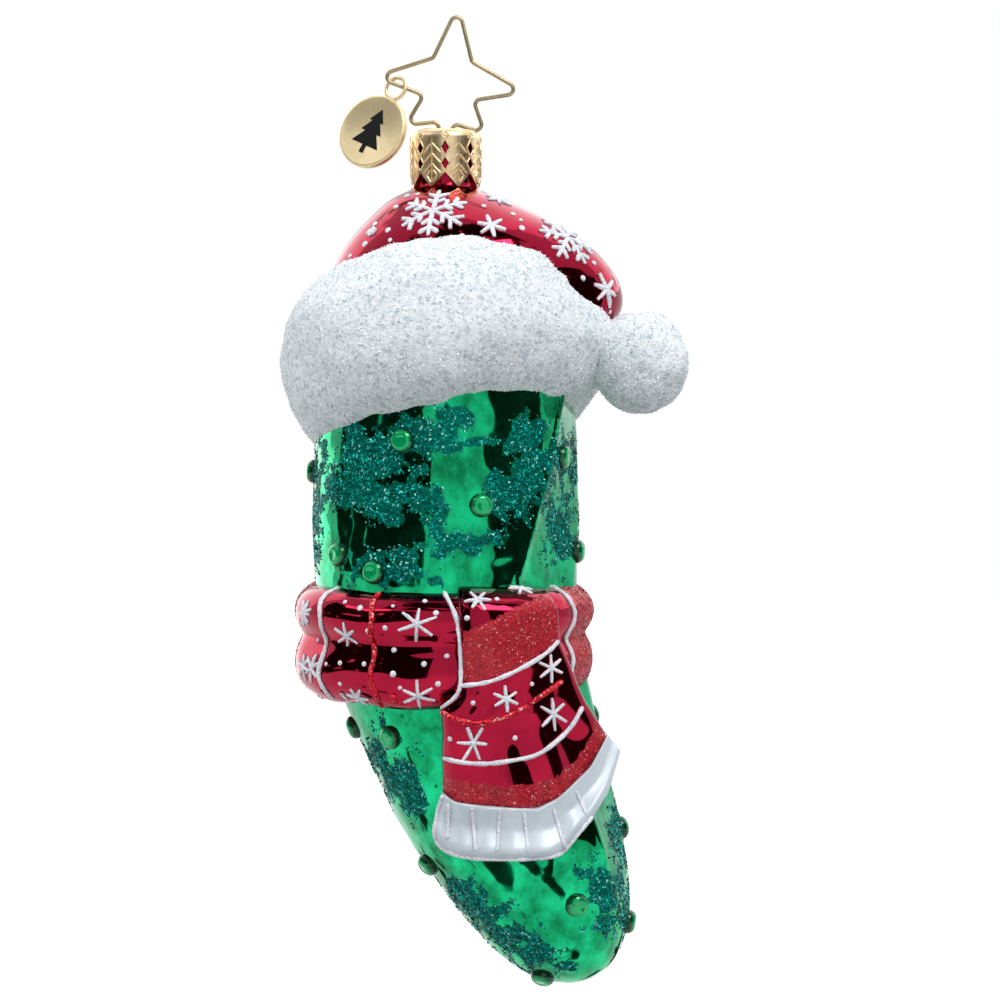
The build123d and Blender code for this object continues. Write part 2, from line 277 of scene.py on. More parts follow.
def mark_glitter(form, share, rearmost=1.0):
    """Keeps on the form how much glitter lies at each point that faces no further to the back."""
    layer = form.verts.layers.float.new("glitter")
    for vert in form.verts:
        if vert.normal.y <= rearmost:
            vert[layer] = clamped(share(vert.co))


pickle_segments = 32
pickle = ringed_form(pickle_sections, pickle_segments)
pickle.verts.ensure_lookup_table()
bmesh.ops.contextual_create(pickle, geom=pickle.verts[-pickle_segments:])
pickle = smoothed(pickle, 3)
long_edges = [edge for edge in pickle.edges if edge.calc_length() > 1.1]
bmesh.ops.subdivide_edges(pickle, edges=long_edges, cuts=2, use_grid_fill=True)
ordered(pickle)
for vert in pickle.verts:
    depth = shoulder_z - vert.co.z
    middle, half_width, half_thickness = between(pickle_sections, depth)
    across = (vert.co.x - neck_x - middle) / half_width
    front = -vert.co.y / half_thickness
    turn = math.degrees(math.atan2(across, front)) - between(facet_crease, depth)[0] - facet_width / 2
    if abs(turn) < facet_width and depth < facet_end:
        flat = math.cos(math.radians(facet_width / 2)) / math.cos(math.radians(turn))
        flat = min(flat, 1.0) + crease_height * bell(turn, -facet_width / 2, crease_spread)
        flat += (1 - flat) * clamped((depth - facet_end + facet_fade) / facet_fade)
        vert.co.x = neck_x + middle + (vert.co.x - neck_x - middle) * flat
        vert.co.y *= flat
swell(pickle, 0.35, 14.0, 1)
swell(pickle, 0.2, 5.5, 2)
swell(pickle, 0.045, 2.2, 12)


def teal_share(point):
    """Glitter patches, in lacy clumps, placed as seen at the front and at random at the back."""
    lace = noise.fractal(point / 3.0, 0.7, 2.1, 4) + 0.5 * noise.noise(point / 1.3)
    if point.y > 5.0:
        cover = 1.5 * noise.noise(point / 10.0 + Vector((3.0, 8.0, 1.0))) + 0.25
    else:
        across, down = pixel(point)
        cover = max(1 - math.hypot((across - x) / a, (down - y) / b) for x, y, a, b in glitter_patches)
    return (cover + lace_share * lace + lace_spread) / lace_edge


mark_glitter(pickle, teal_share)


def skin_of(*forms):
    """One skin to lay things on, from one or more forms."""
    spots = []
    faces = []
    for form in forms:
        start = len(spots)
        form.verts.index_update()
        spots += [vert.co.copy() for vert in form.verts]
        faces += [[start + vert.index for vert in face.verts] for face in form.faces]
    return BVHTree.FromPolygons(spots, faces)


pickle_skin = skin_of(pickle)

# Silvered glass under green lacquer: a tinted mirror, cloudy in patches of about 5 mm where the
# lacquer ran, with a clear gloss over it. Under the glitter lies its dark glue.
green_glass, tree, shader, glue = lacquered_glass(
    "green lacquered silvered glass", flow=0.8, width=5.26, dark="#00824e", light="#16da92", detail=5.0,
    roughness=0.65, edges=(0.36, 0.66), dullest=0.12, glue_colour="#005f54", glue_cover=0.9,
    glue_dullness=0.3,
)
sheen = add(tree, "ShaderNodeMapRange", {"Value": glue, "To Min": 0.5, "To Max": 0.0})
coat = add(tree, "ShaderNodeMapRange", {"Value": glue, "To Min": 0.15, "To Max": 0.0})
fill(tree, shader, {"Specular IOR Level": sheen.outputs["Result"], "Coat Weight": coat.outputs["Result"]})
pickle_piece = finish_piece(pickle, "pickle_body", green_glass, "green_mirrored_glass", "pickle_glass")

# Teal glitter: punched flakes of coloured foil, six-sided and 0.4 mm across, strewn on wet glue.
# They lie at all angles; the few that flash and the dark rest are painted glints and painted shade.
flake_radius = 0.21
glue_height = 0.08
# Tries for a grain in each square of the spacing.
crowding = 1.6


def speckled(tree, place, width, stops):
    """Little cells of that width in mm, each in a colour along (share, colour) stops, and its share."""
    cell = add(tree, "ShaderNodeTexVoronoi", {"Vector": place, "Scale": 1000.0 / width})
    share = add(tree, "ShaderNodeSeparateColor", {"Color": cell.outputs["Color"]}).outputs["Red"]
    shade = add(tree, "ShaderNodeValToRGB", {"Fac": share})
    points = shade.color_ramp.elements
    for point, (stop, code) in zip(points, (stops[0], stops[-1])):
        point.position = stop
        point.color = linear(code)
    for stop, code in stops[1:-1]:
        points.new(stop).color = linear(code)
    return shade.outputs["Color"], share


def scatter(skin, grain, spacing, sizes, tilt, seed, mask=None):
    """Grains set at random on a skin, none nearer than the spacing, and only where the mask says."""
    tree = bpy.data.node_groups.new("scatter", "GeometryNodeTree")
    tree.interface.new_socket("Geometry", in_out="INPUT", socket_type="NodeSocketGeometry")
    tree.interface.new_socket("Geometry", in_out="OUTPUT", socket_type="NodeSocketGeometry")
    start = add(tree, "NodeGroupInput")
    distance = spacing / 1000
    points = add(tree, "GeometryNodeDistributePointsOnFaces", {
        "Mesh": start.outputs[0], "Distance Min": distance, "Density Max": crowding / distance ** 2,
        "Seed": seed,
    }, distribute_method="POISSON")
    if mask:
        share = add(tree, "GeometryNodeInputNamedAttribute", {"Name": mask}, data_type="FLOAT")
        tree.links.new(share.outputs[0], points.inputs["Density Factor"])
    turned = add(tree, "FunctionNodeRandomValue", {
        0: (-tilt, -tilt, -math.pi), 1: (tilt, tilt, math.pi), "Seed": seed + 1,
    }, data_type="FLOAT_VECTOR")
    turn = add(tree, "FunctionNodeEulerToRotation", {"Euler": turned.outputs[0]})
    facing = add(tree, "FunctionNodeRotateRotation", {
        "Rotation": points.outputs["Rotation"], "Rotate By": turn.outputs[0],
    }, rotation_space="LOCAL")
    smallest, largest = [size / 1000 for size in sizes]
    size = add(tree, "FunctionNodeRandomValue", {2: smallest, 3: largest, "Seed": seed + 2})
    shape = add(tree, "GeometryNodeObjectInfo", {"Object": grain})
    copies = add(tree, "GeometryNodeInstanceOnPoints", {
        "Points": points.outputs["Points"], "Instance": shape.outputs["Geometry"],
        "Rotation": facing.outputs[0], "Scale": size.outputs[1],
    })
    real = add(tree, "GeometryNodeRealizeInstances", {0: copies.outputs[0]})
    add(tree, "NodeGroupOutput", {0: real.outputs[0]})
    carrier = bpy.data.objects.new("carrier", skin.data)
    scene.collection.objects.link(carrier)
    carrier.modifiers.new("Scatter", "NODES").node_group = tree
    result = bmesh.new()
    result.from_object(carrier, bpy.context.evaluated_depsgraph_get())
    bpy.data.objects.remove(carrier)
    bpy.data.node_groups.remove(tree)
    bmesh.ops.scale(result, vec=(1000, 1000, 1000), verts=result.verts)
    return result


flake = bmesh.new()
bmesh.ops.create_circle(flake, cap_ends=True, segments=6, radius=flake_radius)
flake_shape = shape_of(flake, "flake")

# Teal foil: one tone to a flake, from nearly black to a pale flash, with little shine of its own.
# Its nearly black tones are painted shade and its pale flashes are painted glints.
teal_foil, tree, shader, place = new_material("teal glitter foil")
shade, _ = speckled(tree, place, 0.4, (
    (0.0, "#002e2b"), (0.35, "#00625a"), (0.7, "#00ac9e"), (0.9, "#1ee2d2"), (0.985, "#b8fff4"),
))
fill(tree, shader, {"Base Color": shade, "Roughness": 0.45, "Specular IOR Level": 0.03})
teal = scatter(pickle_piece, flake_shape, spacing=0.3, sizes=(0.65, 1.15), tilt=0.6, seed=11, mask="glitter")
pickle_heart = at(8.0, 80.0)
for vert in teal.verts:
    vert.co += (vert.co - pickle_heart).normalized() * glue_height
finish_piece(teal, "teal_glitter", teal_foil, "green_mirrored_glass")

# Hat: the top of the same bubble, silvered, in clear red lacquer. Its neck stands up inside the
# cap, its right side droops to the pompom, and its right front is drawn in a little.
hat_sections = (
    (3.0, 0.0, 4.2, 4.2),
    (-8.4, 0.0, 4.2, 4.2),
    (-8.8, 0.0, 4.7, 4.7),
    (-8.4, 0.0, 5.2, 5.2),
    (-1.2, 0.0, 5.2, 5.2),
    (0.0, 0.0, 5.6, 5.5),
    (0.7, 0.0, 7.6, 7.2),
    (2.0, 0.5, 10.4, 9.5),
    (4.5, 2.0, 14.4, 12.7),
    (7.0, 3.1, 18.0, 15.3),
    (10.3, 4.0, 21.6, 17.7),
    (15.3, 4.7, 24.6, 20.1),
    (20.3, 4.6, 25.5, 21.3),
    (24.0, 2.8, 23.8, 21.2),
    (27.0, 0.5, 21.0, 20.3),
)
# The hollow begins below the shoulder, deepens over its fade and lies round a bearing.
hollow_middle = 4.5
hollow_top = 7.0
hollow_fade = 8.0
hollow_share = 0.16
hollow_turn = 52.0
hollow_spread = 30.0
hat = smoothed(ringed_form(hat_sections, 40), 2)
for vert in hat.verts:
    turn = math.degrees(math.atan2(vert.co.x - neck_x - hollow_middle, -vert.co.y))
    sunk = clamped((shoulder_z - vert.co.z - hollow_top) / hollow_fade)
    vert.co.y *= 1 - hollow_share * sunk * bell(turn, hollow_turn, hollow_spread)
swell(hat, 0.16, 11.0, 3)
hat_skin = skin_of(hat)

# Silvered glass under red lacquer: a deep red mirror, cloudy in patches of about 7 mm, under a clear
# gloss. Under the glitter lies a brighter red glue.
red_glass, _, _, _ = lacquered_glass(
    "red lacquered silvered glass", flow=1.0, width=7.14, dark="#840322", light="#c41a40", detail=4.0,
    roughness=0.6, dullest=0.10, glue_colour="#aa1226", glue_cover=1.0, glue_dullness=0.45,
)
finish_piece(hat, "hat_body", red_glass, "red_mirrored_glass", "hat_glass")

# Hat paint: snowflakes, small stars and dots, laid on by hand with a fine brush in thick white
# paint, so that each stroke stands a little proud. The back carries the same motifs.
# Places are pixels of the front view or, at the back, bearings and depths, with a size and a turn.
hat_flakes = ((433, 211, 6.0, 0.0), (567, 238, 5.6, 12.0))
hat_stars = ((491, 226, 2.5, 8.0), (498, 200, 2.3, 25.0), (606, 290, 2.9, 10.0), (372, 232, 1.0, 0.0))
hat_dots = (
    (407, 196), (375, 224), (388, 230), (365, 244), (390, 240), (484, 206), (513, 214), (521, 220),
    (522, 228), (350, 256), (344, 263), (418, 194), (396, 207), (462, 236), (583, 278), (594, 263),
    (610, 312), (602, 320), (545, 214), (534, 207), (621, 283), (612, 268),
)
hat_back_flakes = ((128.0, 9.0, 6.0), (182.0, 6.0, 5.6), (232.0, 11.0, 5.8))
hat_back_stars = (
    (105.0, 15.0, 2.6), (152.0, 14.0, 2.4), (158.0, 3.5, 2.3), (208.0, 15.0, 2.8), (256.0, 9.0, 2.4),
)
hat_axis = 4.0
far_out = 90.0
stroke_width = 0.8
hat_dot_width = 0.95


def around(turn, depth, skin, middle=0.0):
    """Where a skin is met from outside, at a bearing from the front towards the right."""
    outward = Vector((math.sin(math.radians(turn)), -math.cos(math.radians(turn)), 0))
    spot, direction, _, _ = skin.ray_cast(at(middle, depth) + outward * far_out, -outward)
    return spot, direction


def laid(path, skin, lift):
    """A path moved on to a skin, that much proud of it."""
    met = [skin.find_nearest(point) for point in path]
    return [spot + direction * lift for spot, direction, _, _ in met]


def motif(place, runs, size, turn, skin, lift=0.08):
    """The strokes of a motif on a skin about a place. A run is two ends, in shares of the size."""
    spot, direction = place
    right = Vector((0, 0, 1)).cross(direction).normalized()
    up = direction.cross(right)
    spin = Matrix.Rotation(math.radians(turn), 2)
    paths = []
    for run in runs:
        first, last = [spin @ Vector(end) * size for end in run]
        steps = [first.lerp(last, step / 5) for step in range(6)]
        paths.append(laid([spot + right * x + up * y for x, y in steps], skin, lift))
    return paths


def snowflake():
    """Six arms, each with two pairs of barbs."""
    runs = []
    for arm in range(6):
        along = Vector((math.sin(arm * math.pi / 3), math.cos(arm * math.pi / 3)))
        runs.append((along * 0.02, along * random.uniform(0.92, 1.05)))
        for share, length in ((0.34, 0.3), (0.62, 0.34)):
            for side in (-52, 52):
                barb = Matrix.Rotation(math.radians(side), 2) @ along * length * random.uniform(0.85, 1.15)
                runs.append((along * share, along * share + barb))
    return runs


def star():
    """Three strokes across each other, no two quite alike."""
    runs = []
    for stroke in range(3):
        angle = stroke * math.pi / 3 + random.uniform(-0.12, 0.12)
        along = Vector((math.sin(angle), math.cos(angle)))
        runs.append((-along * random.uniform(0.85, 1.1), along * random.uniform(0.85, 1.1)))
    return runs


def paint_lines(form, paths, width, wobble=0.18, sides=1):
    """Adds rounded beads along paths of points, as uneven in width as the wobble."""
    line = bpy.data.curves.new("bead", "CURVE")
    line.dimensions = "3D"
    line.bevel_depth = width / 2
    line.bevel_resolution = sides
    line.use_fill_caps = True
    for path in paths:
        run = line.splines.new("POLY")
        run.points.add(len(path) - 1)
        for number, (point, spot) in enumerate(zip(run.points, path)):
            point.co = (*spot, 1.0)
            end = number in (0, len(path) - 1)
            point.radius = random.uniform(1 - wobble, 1 + wobble) * (1 - 1.5 * wobble if end else 1.0)
    shape = bpy.data.objects.new("bead", line)
    mesh = bpy.data.meshes.new_from_object(shape)
    form.from_mesh(mesh)
    bpy.data.objects.remove(shape)
    bpy.data.curves.remove(line)
    bpy.data.meshes.remove(mesh)


def paint_dots(form, places, width):
    """Adds domed dots of paint, at the places that met a skin."""
    for spot, direction in places:
        if spot is None:
            continue
        size = width / 2 * random.uniform(0.75, 1.2)
        facing = direction.to_track_quat("Z", "Y").to_matrix().to_4x4()
        shape = Matrix.Diagonal((size, size * random.uniform(0.85, 1.15), size * 0.55, 1))
        bmesh.ops.create_icosphere(
            form, subdivisions=2, radius=1.0, matrix=Matrix.Translation(spot) @ facing @ shape
        )


hat_paint = bmesh.new()
paths = []
for across, down, size, turn in hat_flakes:
    paths += motif(seen(across, down, hat_skin), snowflake(), size, turn, hat_skin)
for across, down, size, turn in hat_stars:
    paths += motif(seen(across, down, hat_skin), star(), size, turn, hat_skin)
for turn, depth, size in hat_back_flakes:
    paths += motif(around(turn, depth, hat_skin, hat_axis), snowflake(), size, turn, hat_skin)
for turn, depth, size in hat_back_stars:
    paths += motif(around(turn, depth, hat_skin, hat_axis), star(), size, turn, hat_skin)
paint_lines(hat_paint, paths, stroke_width)
places = [seen(across, down, hat_skin) for across, down in hat_dots]
places += [around(random.uniform(95, 265), random.uniform(1.5, 17), hat_skin, hat_axis) for _ in range(34)]
paint_dots(hat_paint, places, hat_dot_width)

# White glitter paint: chalky white, a little blue, with a grain that glints. The real grain is too
# fine to show, so it is drawn 0.2 mm wide.
white_paint, tree, shader, place = new_material("white glitter paint")
shade, grain = speckled(tree, place, 0.2, ((0.0, "#c6c9d6"), (0.5, "#ebebf3"), (0.9, "#ffffff")))
relief = add(tree, "ShaderNodeBump", {"Height": grain, "Strength": 0.4, "Distance": 0.0001})
fill(tree, shader, {"Base Color": shade, "Normal": relief.outputs["Normal"], "Roughness": 0.35})
finish_piece(hat_paint, "hat_snowflakes", white_paint, "white_crushed_glass")

# Hat brim: a fat moulded roll round the hat, raised at the front, coated all over with crushed
# glass on white glue to look like fur.
brim_depth = 27.8
brim_ring_radius = 14.0
brim_inner_radius = 12.0
brim_half_width = 13.3
brim_half_height = 16.6
# How far the hem and the top edge rise, by bearing from the front towards the right.
brim_hem_rise = (
    (-180, 0.0), (-75, -0.5), (-60, 0.5), (-22, 1.3), (0, 2.4), (20, 4.5), (40, 5.3), (55, 5.2), (72, 6.6),
    (96, 6.8), (125, 1.0), (180, 0.0),
)
brim_top_rise = (
    (-180, 0.0), (-110, 0.0), (-75, -1.8), (-55, -2.2), (-25, -0.8), (0, -0.5), (20, 0.2), (40, 0.4),
    (55, -0.4), (75, -1.0), (100, 0.0), (180, 0.0),
)
# The bulge at the right side, by bearing and by share of the half height.
bulge_height = 2.5
bulge_turn = 78.0
bulge_spread = 22.0
bulge_level = -0.1
bulge_reach = 0.4
brim_up = Vector((-math.sin(math.radians(3)), math.sin(math.radians(16)), math.cos(math.radians(16))))


def ring_matrix(middle, up):
    """Places a ring made round +Z at a middle, about a new upright."""
    return Matrix.Translation(middle) @ up.to_track_quat("Z", "Y").to_matrix().to_4x4()


def lathe(form, steps, profile=None, middle=(0, 0, 0)):
    """Turns a profile, the whole form if none is given, once round an upright through the middle."""
    bmesh.ops.spin(
        form, geom=profile or form.verts[:] + form.edges[:], cent=middle, axis=(0, 0, 1),
        angle=2 * math.pi, steps=steps, use_merge=True,
    )
    bmesh.ops.remove_doubles(form, verts=form.verts, dist=0.001)


brim = bmesh.new()
bmesh.ops.create_circle(brim, segments=40, radius=1.0)
bmesh.ops.transform(
    brim, verts=brim.verts,
    matrix=Matrix.Translation((brim_ring_radius, 0, 0)) @ Matrix.Rotation(math.pi / 2, 4, "X")
    @ Matrix.Diagonal((brim_half_width, brim_half_height, 1, 1)),
)
bmesh.ops.bisect_plane(
    brim, geom=brim.verts[:] + brim.edges[:], plane_co=(brim_inner_radius, 0, 0), plane_no=(-1, 0, 0),
    clear_outer=True,
)
lathe(brim, 72)
bmesh.ops.recalc_face_normals(brim, faces=brim.faces)
bmesh.ops.transform(brim, matrix=ring_matrix(at(0, brim_depth), brim_up), verts=brim.verts)
for vert in brim.verts:
    height = (vert.co - at(0, brim_depth)).dot(brim_up) / brim_half_height
    turn = math.degrees(math.atan2(vert.co.x - neck_x, -vert.co.y))
    rises = brim_hem_rise if height < 0 else brim_top_rise
    vert.co.z += between(rises, turn)[0] * abs(height)
    bulge = bulge_height * bell(turn, bulge_turn, bulge_spread) * bell(height, bulge_level, bulge_reach)
    vert.co += Vector((math.sin(math.radians(turn)), -math.cos(math.radians(turn)), 0.0)) * bulge
brim = smoothed(brim, 1)
swell(brim, 0.7, 9.0, 4)
swell(brim, 0.35, 3.0, 5)

# White glue: the chalky coat that holds the grains, dull between them.
white_glue, tree, shader, place = new_material("white glue")
shade, _ = speckled(tree, place, 0.5, ((0.0, "#c4cdd3"), (0.3, "#e2e7ea"), (0.9, "#f4f6f7")))
fill(tree, shader, {"Base Color": shade, "Roughness": 0.8, "Specular IOR Level": 0.2})

# Crushed glass: sugary clear grains, one tone to a grain, bright where a facet turns to the light.
# The pure white grains, picked at random, are painted glints on top of that shine.
white_grit, tree, shader, place = new_material("crushed glass")
shade, _ = speckled(tree, place, 0.5, (
    (0.0, "#9caab2"), (0.07, "#c6d0d5"), (0.2, "#e0e6e9"), (0.78, "#eceff1"), (0.82, "#ffffff"),
))
fill(tree, shader, {"Base Color": shade, "Roughness": 0.16, "Specular IOR Level": 0.8})
brim_piece = finish_piece(brim, "brim_fur_base", white_glue, "white_crushed_glass", "hat_brim")
grit_spacing = 0.48
grit_sizes = (0.6, 1.35)
grit_tilt = 0.6
chip = bmesh.new()
bmesh.ops.create_cone(chip, cap_ends=False, segments=5, radius1=0.3, radius2=0.0, depth=0.42)
chip_shape = shape_of(chip, "chip")
brim_grit = scatter(brim_piece, chip_shape, grit_spacing, grit_sizes, grit_tilt, seed=21)
finish_piece(brim_grit, "brim_grit", white_grit, "white_crushed_glass").data.shade_flat()

# Pompom: a small ball at the hat's tip, blown in the same bubble, with the same crushed glass strewn
# on its white glue.
pompom_middle = at(32.1, 29.0, -6.0)
pompom_radii = (8.0, 8.0, 8.4)
pompom = bmesh.new()
bmesh.ops.create_icosphere(pompom, subdivisions=5, radius=1.0)
bmesh.ops.transform(
    pompom, matrix=Matrix.Translation(pompom_middle) @ Matrix.Diagonal((*pompom_radii, 1)),
    verts=pompom.verts,
)
swell(pompom, 0.5, 5.0, 6)
swell(pompom, 0.3, 2.5, 7)
pompom_piece = finish_piece(pompom, "pompom_base", white_glue, "white_crushed_glass", "hat_pompom")
pompom_grit = scatter(pompom_piece, chip_shape, grit_spacing, grit_sizes, grit_tilt, seed=31)
finish_piece(pompom_grit, "pompom_grit", white_grit, "white_crushed_glass").data.shade_flat()

# Scarf wrap: two soft turns moulded round the pickle's waist in the same bubble, in red lacquer,
# with glitter stripes across them.
wrap_up = Vector((0, -math.sin(math.radians(4)), math.cos(math.radians(4))))
wrap_middle = at(-0.3, 69.6)
wrap_profile = (
    (17.0, 4.0), (19.5, 4.7), (22.6, 3.9), (24.5, 2.0), (25.0, 0.0), (24.4, -2.2), (22.9, -3.9),
    (24.3, -5.6), (25.0, -8.4), (24.6, -11.2), (23.0, -13.3), (20.6, -14.6), (17.0, -14.0),
)
wrap_stripes = ((64, 112), (-124, -80))


def lathed_form(profile, steps):
    """A form turned from a profile of radii and heights."""
    form = bmesh.new()
    chain = [form.verts.new((radius, 0, height)) for radius, height in profile]
    for first, second in zip(chain, chain[1:]):
        form.edges.new((first, second))
    lathe(form, steps)
    return form


wrap = lathed_form(wrap_profile, 72)
bmesh.ops.recalc_face_normals(wrap, faces=wrap.faces)
bmesh.ops.transform(wrap, matrix=ring_matrix(wrap_middle, wrap_up), verts=wrap.verts)
wrap = smoothed(wrap, 2)
swell(wrap, 0.5, 9.0, 8)
swell(wrap, 0.07, 3.5, 14)


def stripe_share(point):
    """Glitter stripes across the turns, by bearing from the front towards the right."""
    turn = math.degrees(math.atan2(point.x - neck_x, -point.y)) + 2.0 * noise.noise(point / 2.5)
    return max(min(turn - first, last - turn) for first, last in wrap_stripes) + 0.5


mark_glitter(wrap, stripe_share)

# Scarf tail: the scarf's loose end, moulded over the turns in the same bubble. It hangs in loose
# folds and turns to the right, in red lacquer with glitter on a panel and along its hem.
tail_axis = (0.2, 75.3, math.radians(19.5))
tail_thickness = 6.0
fold_count = 3.6
fold_slant = 0.3
fold_start = 0.4
fold_depth = 1.5
edge_depth = 1.2
top_depth = 4.0
tail_radii = (
    (-12.0, 25.6), (-8.0, 27.0), (0.0, 27.6), (12.0, 25.4), (21.0, 23.6), (30.0, 23.0), (42.0, 22.8),
)
# The sides by shares along the tail and the hem by shares across it, each with a place.
tail_left = ((0.0, 2.1, 65.3), (0.44, 2.7, 79.9), (0.53, 2.2, 82.8), (0.59, -0.3, 84.9), (1.0, -0.2, 98.6))
tail_right = ((0.0, 16.5, 65.8), (0.12, 18.4, 69.0), (0.3, 18.7, 74.4), (0.73, 22.9, 84.6), (1.0, 26.5, 90.0))
tail_hem = (
    (0.0, -0.2, 98.6), (0.08, 1.8, 100.0), (0.27, 6.9, 100.7), (0.55, 15.0, 101.1), (0.66, 18.0, 99.7),
    (0.75, 20.1, 98.0), (0.89, 23.6, 94.9), (1.0, 26.5, 90.0),
)


def over_turns(right, depth, radii):
    """A point of the tail's rounded front at a place of the front view."""
    start_right, start_depth, slope = tail_axis
    along = (right - start_right) * math.sin(slope) + (depth - start_depth) * math.cos(slope)
    aside = (right - start_right) * math.cos(slope) - (depth - start_depth) * math.sin(slope)
    radius = between(radii, along)[0]
    return at(right, depth, -math.sqrt(max(radius ** 2 - aside ** 2, 9.0)))


def draped_form(columns, rows, shape, thickness):
    """A grid laid over a shape of (across, along), its border turned in and its back closed."""
    form = bmesh.new()
    bmesh.ops.create_grid(form, x_segments=columns, y_segments=rows, size=0.5)
    for vert in form.verts:
        vert.co = shape(vert.co.x + 0.5, 0.5 - vert.co.y)
    front = form.faces[:]
    for turn_in in (thickness * 0.2, thickness * 0.8):
        rim = [edge for edge in form.edges if edge.is_boundary]
        edge_verts = verts_of(bmesh.ops.extrude_edge_only(form, edges=rim)["geom"])
        bmesh.ops.translate(form, vec=(0, turn_in, 0), verts=edge_verts)
    back_verts = verts_of(bmesh.ops.duplicate(form, geom=front)["geom"])
    bmesh.ops.translate(form, vec=(0, thickness, 0), verts=back_verts)
    bmesh.ops.remove_doubles(form, verts=form.verts, dist=0.001)
    return form


def tail_shape(across, along):
    """A point of the tail at shares across and along it, with folds, and its edges let in."""
    left = between(tail_left, along)
    right = between(tail_right, along)
    row = Vector(left).lerp(Vector(right), across)
    last_row = Vector(tail_left[-1][1:]).lerp(Vector(tail_right[-1][1:]), across)
    row += (Vector(between(tail_hem, across)) - last_row) * along ** 1.3
    point = over_turns(row.x, row.y, tail_radii)
    fold = math.sin(2 * math.pi * (fold_count * across - fold_slant * along)) * max(along - fold_start, 0.0)
    left_edge = max(1 - across / 0.08, 0.0) ** 2
    left_side = max(1 - across / 0.3, 0.0) ** 1.5 * clamped((0.5 - along) / 0.1)
    top_edge = max(1 - along / 0.12, 0.0) ** 2
    point.y += edge_depth * (left_edge + left_side) + top_depth * top_edge - fold_depth * fold
    return point


tail_panel = ((464, 632), (482, 625), (541, 595), (555, 603), (559, 641), (522, 665), (496, 676), (464, 683))
tail_band = (
    (440, 777), (475, 783), (500, 787), (533, 784), (556, 777), (576, 760), (588, 740), (597, 719),
    (612, 733), (590, 768), (569, 789), (556, 800), (537, 810), (487, 808), (455, 804), (438, 795),
)


def inside(spot, outline):
    """Whether a spot lies inside an outline."""
    crossings = 0
    for (x0, y0), (x1, y1) in zip(outline, outline[1:] + outline[:1]):
        if (y0 > spot.y) != (y1 > spot.y) and spot.x < x0 + (spot.y - y0) / (y1 - y0) * (x1 - x0):
            crossings += 1
    return crossings % 2 == 1


def panel_share(point):
    """Glitter on the tail's upper panel and along its hem."""
    spot = pixel(point + Vector((noise.noise(point / 1.5), 0, noise.noise(point / 1.5 + point))) * 0.3)
    return float(inside(spot, tail_panel) or inside(spot, tail_band))


tail = smoothed(draped_form(36, 44, tail_shape, tail_thickness), 1)
swell(tail, 0.3, 6.0, 9)
tail.normal_update()
mark_glitter(tail, panel_share, -0.1)

# Fringe: the end of the tail, moulded in ribs that stand for threads, in white pearl lacquer. It
# bows out a little below the hem.
fringe_radii = ((8.0, 24.4), (20.0, 24.4), (29.0, 24.0), (36.0, 24.4), (44.0, 22.6))
fringe_bottom = (
    (0.0, -1.6, 105.3), (0.05, -0.5, 107.7), (0.13, 2.5, 109.0), (0.28, 6.9, 109.3), (0.47, 13.5, 109.2),
    (0.6, 17.9, 108.9), (0.66, 19.6, 107.6), (0.72, 21.4, 105.3), (0.82, 24.0, 102.8), (0.92, 26.8, 98.6),
    (1.0, 28.8, 92.8),
)
fringe_bow = ((0.0, 0.0), (0.2, 0.5), (0.42, 0.9), (0.6, 0.3), (0.78, -0.5), (0.9, -0.3), (1.0, 1.2))
fringe_thickness = 4.5
rib_height = 0.7
rib_edges = (0.0, 0.06, 0.2, 0.34, 0.475, 0.65, 0.79, 1.0)


def fringe_shape(across, along):
    """A point of the fringe at shares across and along it."""
    top = Vector(between(tail_hem, across)) - Vector((0.0, 0.1))
    row = top.lerp(Vector(between(fringe_bottom, across)), along)
    point = over_turns(row.x, row.y, fringe_radii)
    for first, last in zip(rib_edges, rib_edges[1:]):
        if first <= across <= last:
            rib = math.sin(math.pi * (across - first) / (last - first))
    point.y += between(fringe_bow, along)[0] - rib_height * rib
    return point


fringe = smoothed(draped_form(48, 16, fringe_shape, fringe_thickness), 1)

# Pearl lacquer on silvered glass: pale blue-grey in soft patches of about 5 mm, with a broad sheen.
pearl, tree, shader, place = new_material("white pearl lacquer")
tint, _ = clouded(tree, place, 4.55, "#bcc8d3", "#e6ecf0", 3.0)
fill(tree, shader, {
    "Base Color": tint, "Metallic": 0.15, "Roughness": 0.45, "Coat Weight": 0.3, "Coat Roughness": 0.25,
})

scarf_skin = skin_of(wrap, tail, fringe)
wrap_skin = skin_of(wrap)
wrap_piece = finish_piece(wrap, "scarf_turns", red_glass, "red_mirrored_glass", "scarf_wrap")
tail_piece = finish_piece(tail, "scarf_end", red_glass, "red_mirrored_glass", "scarf_tail")
finish_piece(fringe, "scarf_end_fringe", pearl, "pearl_white_glass", "scarf_fringe")

# Red glitter: finer punched foil flakes on the tail's panel and hem and on stripes of the turns,
# and a thin line of the same glitter in glue across the tail.

# Red foil: one tone to a flake, from dark red to a pale flash, brighter than the lacquer under it.
# Its darkest tones are painted shade and its pale flashes are painted glints.
red_foil, tree, shader, place = new_material("red glitter foil")
shade, _ = speckled(tree, place, 0.27, (
    (0.0, "#5c0410"), (0.35, "#c40f26"), (0.75, "#fa2a40"), (0.93, "#ff6464"), (0.985, "#ffccc0"),
))
fill(tree, shader, {"Base Color": shade, "Specular IOR Level": 0.15, "Roughness": 0.35})
for number, piece in enumerate((wrap_piece, tail_piece)):
    seed = 41 + 3 * number
    strewn = scatter(piece, flake_shape, spacing=0.26, sizes=(0.65, 1.0), tilt=0.5, seed=seed, mask="glitter")
    finish_piece(strewn, f"{piece.name}_glitter", red_foil, "red_mirrored_glass")


def eased(points):
    """A path with its corners cut twice."""
    points = [Vector(point) for point in points]
    for _ in range(2):
        cut = [a.lerp(b, share) for a, b in zip(points, points[1:]) for share in (0.25, 0.75)]
        points = [points[0]] + cut + [points[-1]]
    return points


